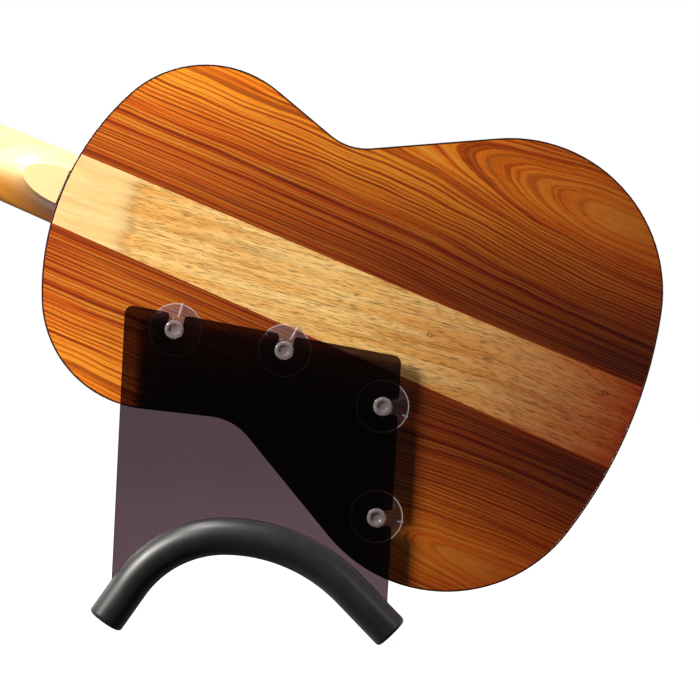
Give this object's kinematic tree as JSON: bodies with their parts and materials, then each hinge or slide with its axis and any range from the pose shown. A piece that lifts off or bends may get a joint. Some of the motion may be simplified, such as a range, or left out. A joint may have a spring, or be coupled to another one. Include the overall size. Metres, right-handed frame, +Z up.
{
  "type": "classical guitar with thigh rest",
  "caption": "Full-size classical guitar held by suction cups on a smoky clear plate with a padded arch that rests on the player's thigh.",
  "frame": {"origin": "underside of the padded arch at its crown, in the middle of the clear plate's thickness", "axes": "+Z up as the support sits on a thigh, +Y from the guitar's back towards its soundboard, +X towards the tail of the guitar; the neck rises towards -X"},
  "size_m": [0.9593, 0.1349, 0.595],
  "materials": {
    "clear_acrylic": "smoky clear acrylic sheet",
    "black_foam": "matte black foam tube",
    "clear_pvc": "clear soft vinyl",
    "back_wood": "glossy reddish brown striped wood",
    "back_wood_pale": "glossy golden brown wood",
    "spruce": "satin spruce",
    "block_wood": "bare wood",
    "dark_trim": "glossy dark wood",
    "pale_neck": "glossy pale wood",
    "rosewood": "satin dark rosewood",
    "ebony": "satin near-black wood",
    "bone": "polished bone",
    "nickel": "polished nickel silver",
    "nylon": "clear nylon",
    "silvered_wire": "silvered wire wound",
    "gold_brass": "gilt brass",
    "roller_white": "white plastic sleeve on a steel shaft",
    "button_pearl": "pearly plastic"
  },
  "bodies": {
    "support": {"support_plate": "clear_acrylic", "arch_foam_sleeve": "black_foam"},
    "guitar": {"back_panel_upper": "back_wood", "back_center_panel": "back_wood_pale", "back_panel_lower": "back_wood", "side_upper": "back_wood", "side_lower": "back_wood", "soundboard_bass": "spruce", "soundboard_treble": "spruce", "rosette": "dark_trim", "bindings": "dark_trim", "end_graft": "back_wood_pale", "tail_block": "block_wood", "neck_block": "block_wood", "linings": "spruce", "back_braces": "spruce", "soundboard_braces": "spruce", "soundboard_patches": "spruce", "neck": "pale_neck", "heel_cap": "pale_neck", "head_veneer": "rosewood", "fingerboard": "ebony", "frets": "nickel", "nut": "bone", "bridge": "rosewood", "saddle": "bone", "tie_block_strips": "bone", "treble_strings": "nylon", "bass_strings": "silvered_wire", "tuner_plate_treble": "gold_brass", "tuner_plate_bass": "gold_brass", "tuner_plate_screws": "gold_brass"},
    "cup_1": {"suction_cup_1": "clear_pvc"},
    "cup_2": {"suction_cup_2": "clear_pvc"},
    "cup_3": {"suction_cup_3": "clear_pvc"},
    "cup_4": {"suction_cup_4": "clear_pvc"},
    "tuner_knob_1": {"tuner_worm_1": "gold_brass", "tuner_button_1": "button_pearl"},
    "tuner_roller_1": {"string_roller_1": "roller_white", "tuner_cog_1": "gold_brass"},
    "tuner_knob_2": {"tuner_worm_2": "gold_brass", "tuner_button_2": "button_pearl"},
    "tuner_roller_2": {"string_roller_2": "roller_white", "tuner_cog_2": "gold_brass"},
    "tuner_knob_3": {"tuner_worm_3": "gold_brass", "tuner_button_3": "button_pearl"},
    "tuner_roller_3": {"string_roller_3": "roller_white", "tuner_cog_3": "gold_brass"},
    "tuner_knob_4": {"tuner_worm_4": "gold_brass", "tuner_button_4": "button_pearl"},
    "tuner_roller_4": {"string_roller_4": "roller_white", "tuner_cog_4": "gold_brass"},
    "tuner_knob_5": {"tuner_worm_5": "gold_brass", "tuner_button_5": "button_pearl"},
    "tuner_roller_5": {"string_roller_5": "roller_white", "tuner_cog_5": "gold_brass"},
    "tuner_knob_6": {"tuner_worm_6": "gold_brass", "tuner_button_6": "button_pearl"},
    "tuner_roller_6": {"string_roller_6": "roller_white", "tuner_cog_6": "gold_brass"}
  },
  "joints": [
    {"name": "guitar_pull_off", "type": "slide", "parent": "support", "child": "guitar", "axis": [0, 1, 0], "range_m": [0, 0.15]},
    {"name": "cup_1_in_slot", "type": "slide", "parent": "support", "child": "cup_1", "axis": [0.1874, 0, 0.9823], "range_m": [0, 0.02]},
    {"name": "cup_2_in_slot", "type": "slide", "parent": "support", "child": "cup_2", "axis": [0.1874, 0, 0.9823], "range_m": [0, 0.02]},
    {"name": "cup_3_in_slot", "type": "slide", "parent": "support", "child": "cup_3", "axis": [0.9983, 0, -0.0576], "range_m": [0, 0.02]},
    {"name": "cup_4_in_slot", "type": "slide", "parent": "support", "child": "cup_4", "axis": [0.9983, 0, -0.0576], "range_m": [0, 0.02]},
    {"name": "knob_1_turn", "type": "hinge", "parent": "guitar", "child": "tuner_knob_1", "pos_m": [-0.51287, 0.07975, 0.41141], "axis": [-0.2379, 0.9659, 0.102], "continuous": true},
    {"name": "roller_1_turn", "type": "hinge", "parent": "guitar", "child": "tuner_roller_1", "pos_m": [-0.49473, 0.08221, 0.43046], "axis": [0.3939, 0, 0.9191], "continuous": true},
    {"name": "knob_2_turn", "type": "hinge", "parent": "guitar", "child": "tuner_knob_2", "pos_m": [-0.54395, 0.07069, 0.42473], "axis": [-0.2379, 0.9659, 0.102], "continuous": true},
    {"name": "roller_2_turn", "type": "hinge", "parent": "guitar", "child": "tuner_roller_2", "pos_m": [-0.5258, 0.07315, 0.44377], "axis": [0.3939, 0, 0.9191], "continuous": true},
    {"name": "knob_3_turn", "type": "hinge", "parent": "guitar", "child": "tuner_knob_3", "pos_m": [-0.57502, 0.06163, 0.43805], "axis": [-0.2379, 0.9659, 0.102], "continuous": true},
    {"name": "roller_3_turn", "type": "hinge", "parent": "guitar", "child": "tuner_roller_3", "pos_m": [-0.55688, 0.06409, 0.45709], "axis": [0.3939, 0, 0.9191], "continuous": true},
    {"name": "knob_4_turn", "type": "hinge", "parent": "guitar", "child": "tuner_knob_4", "pos_m": [-0.48065, 0.07975, 0.4866], "axis": [-0.2379, 0.9659, 0.102], "continuous": true},
    {"name": "roller_4_turn", "type": "hinge", "parent": "guitar", "child": "tuner_roller_4", "pos_m": [-0.48192, 0.08221, 0.46033], "axis": [0.3939, 0, 0.9191], "continuous": true},
    {"name": "knob_5_turn", "type": "hinge", "parent": "guitar", "child": "tuner_knob_5", "pos_m": [-0.51172, 0.07069, 0.49992], "axis": [-0.2379, 0.9659, 0.102], "continuous": true},
    {"name": "roller_5_turn", "type": "hinge", "parent": "guitar", "child": "tuner_roller_5", "pos_m": [-0.513, 0.07315, 0.47365], "axis": [0.3939, 0, 0.9191], "continuous": true},
    {"name": "knob_6_turn", "type": "hinge", "parent": "guitar", "child": "tuner_knob_6", "pos_m": [-0.5428, 0.06163, 0.51324], "axis": [-0.2379, 0.9659, 0.102], "continuous": true},
    {"name": "roller_6_turn", "type": "hinge", "parent": "guitar", "child": "tuner_roller_6", "pos_m": [-0.54407, 0.06409, 0.48696], "axis": [0.3939, 0, 0.9191], "continuous": true}
  ],
  "couplings": [
    {"joint": "roller_1_turn", "follows": "knob_1_turn", "ratio": 0.071429},
    {"joint": "roller_2_turn", "follows": "knob_2_turn", "ratio": 0.071429},
    {"joint": "roller_3_turn", "follows": "knob_3_turn", "ratio": 0.071429},
    {"joint": "roller_4_turn", "follows": "knob_4_turn", "ratio": 0.071429},
    {"joint": "roller_5_turn", "follows": "knob_5_turn", "ratio": 0.071429},
    {"joint": "roller_6_turn", "follows": "knob_6_turn", "ratio": 0.071429}
  ]
}
